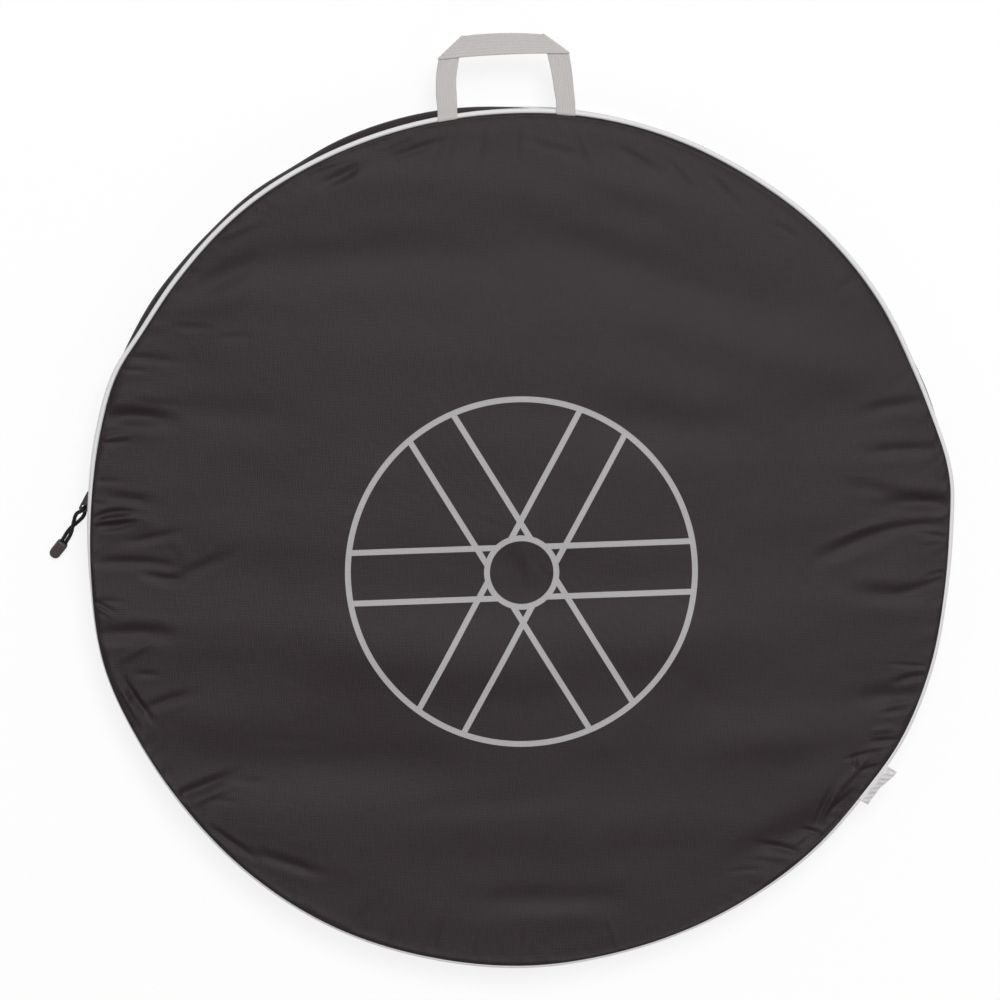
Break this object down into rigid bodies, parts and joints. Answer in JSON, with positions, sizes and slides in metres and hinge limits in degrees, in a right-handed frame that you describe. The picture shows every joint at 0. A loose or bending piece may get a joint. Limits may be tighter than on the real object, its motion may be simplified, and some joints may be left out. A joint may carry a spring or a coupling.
{
  "type": "bike wheel bag",
  "caption": "Round padded bag for a bicycle wheel, with pale piping, a webbing carrying handle, a zip round its upper half with a cord puller, and a front flap that folds open.",
  "frame": {"origin": "middle of the bag's underside, on the flat outside of the back panel", "axes": "+Z is the front panel's outward side, +Y points to the carrying handle, +X is the right side seen from the front; the bag lies on its back panel"},
  "size_m": [0.7816, 0.8143, 0.068],
  "materials": {
    "outer_cloth": "fine plain-woven black polyester, faint sheen",
    "lining": "thin matt black woven lining",
    "foam": "grey closed-cell padding",
    "piping": "pale grey reflective piping",
    "webbing": "light grey ribbed webbing",
    "zip_tape": "black woven zip tape",
    "zip_coil": "black nylon coil",
    "enamelled_metal": "black enamelled zinc",
    "cord": "black braided cord",
    "grip": "dark grey moulded grip",
    "label": "silver grey ribbon"
  },
  "bodies": {
    "bag": {"back_panel": "outer_cloth", "back_foam": "foam", "back_lining": "lining", "back_piping": "piping", "back_seam_binding": "lining", "front_panel_lower": "outer_cloth", "front_foam_lower": "foam", "front_lining_lower": "lining", "front_piping_lower": "piping", "front_seam_binding_lower": "lining", "lower_gusset": "outer_cloth", "gusset_strip_back": "outer_cloth", "gusset_strip_front_left_end": "outer_cloth", "gusset_strip_front_right_end": "outer_cloth", "zip_tape_back": "zip_tape", "zip_tape_front_left_end": "zip_tape", "zip_tape_front_right_end": "zip_tape", "zip_coil_back": "zip_coil", "zip_coil_front_left_end": "zip_coil", "zip_coil_front_right_end": "zip_coil", "zip_end_tab_left": "outer_cloth", "zip_end_tab_right": "outer_cloth", "zip_top_stop_front": "enamelled_metal", "zip_top_stop_back": "enamelled_metal", "zip_bottom_stop": "enamelled_metal", "side_label": "label"},
    "flap": {"front_panel_flap": "outer_cloth", "front_foam_flap": "foam", "front_lining_flap": "lining", "front_piping_flap": "piping", "front_seam_binding_flap": "lining", "gusset_strip_front_flap": "outer_cloth", "zip_tape_front_flap": "zip_tape", "zip_coil_front_flap": "zip_coil"},
    "slider": {"slider_body": "enamelled_metal"},
    "pull_ring": {"pull_ring": "enamelled_metal"},
    "pull_tab": {"pull_tab": "enamelled_metal"},
    "pull_cord": {"pull_cord": "cord", "pull_grip": "grip"},
    "handle": {"handle_strap": "webbing"}
  },
  "joints": [
    {"name": "flap_open", "type": "hinge", "parent": "bag", "child": "flap", "pos_m": [0, 0.074, 0.072], "axis": [1, 0, 0], "range_deg": [0, 165]},
    {"name": "slider_run", "type": "hinge", "parent": "bag", "child": "slider", "pos_m": [0, 0, 0.03175], "axis": [0, 0, -1], "range_deg": [0, 161.2]},
    {"name": "pull_ring_swing", "type": "hinge", "parent": "slider", "child": "pull_ring", "pos_m": [-0.36855, 0.05847, 0.03175], "axis": [0, 0, -1], "range_deg": [-6, 110]},
    {"name": "pull_tab_swing", "type": "hinge", "parent": "pull_ring", "child": "pull_tab", "pos_m": [-0.37146, 0.05102, 0.03175], "axis": [0, 0, -1], "range_deg": [-10, 45]},
    {"name": "pull_cord_lift", "type": "hinge", "parent": "pull_tab", "child": "pull_cord", "pos_m": [-0.37781, 0.03823, 0.02655], "axis": [-0.8398, 0.5429, 0], "range_deg": [0, 60]},
    {"name": "handle_lift", "type": "hinge", "parent": "flap", "child": "handle", "pos_m": [0, 0.36766, 0.0638], "axis": [1, 0, 0], "range_deg": [0, 160]}
  ]
}
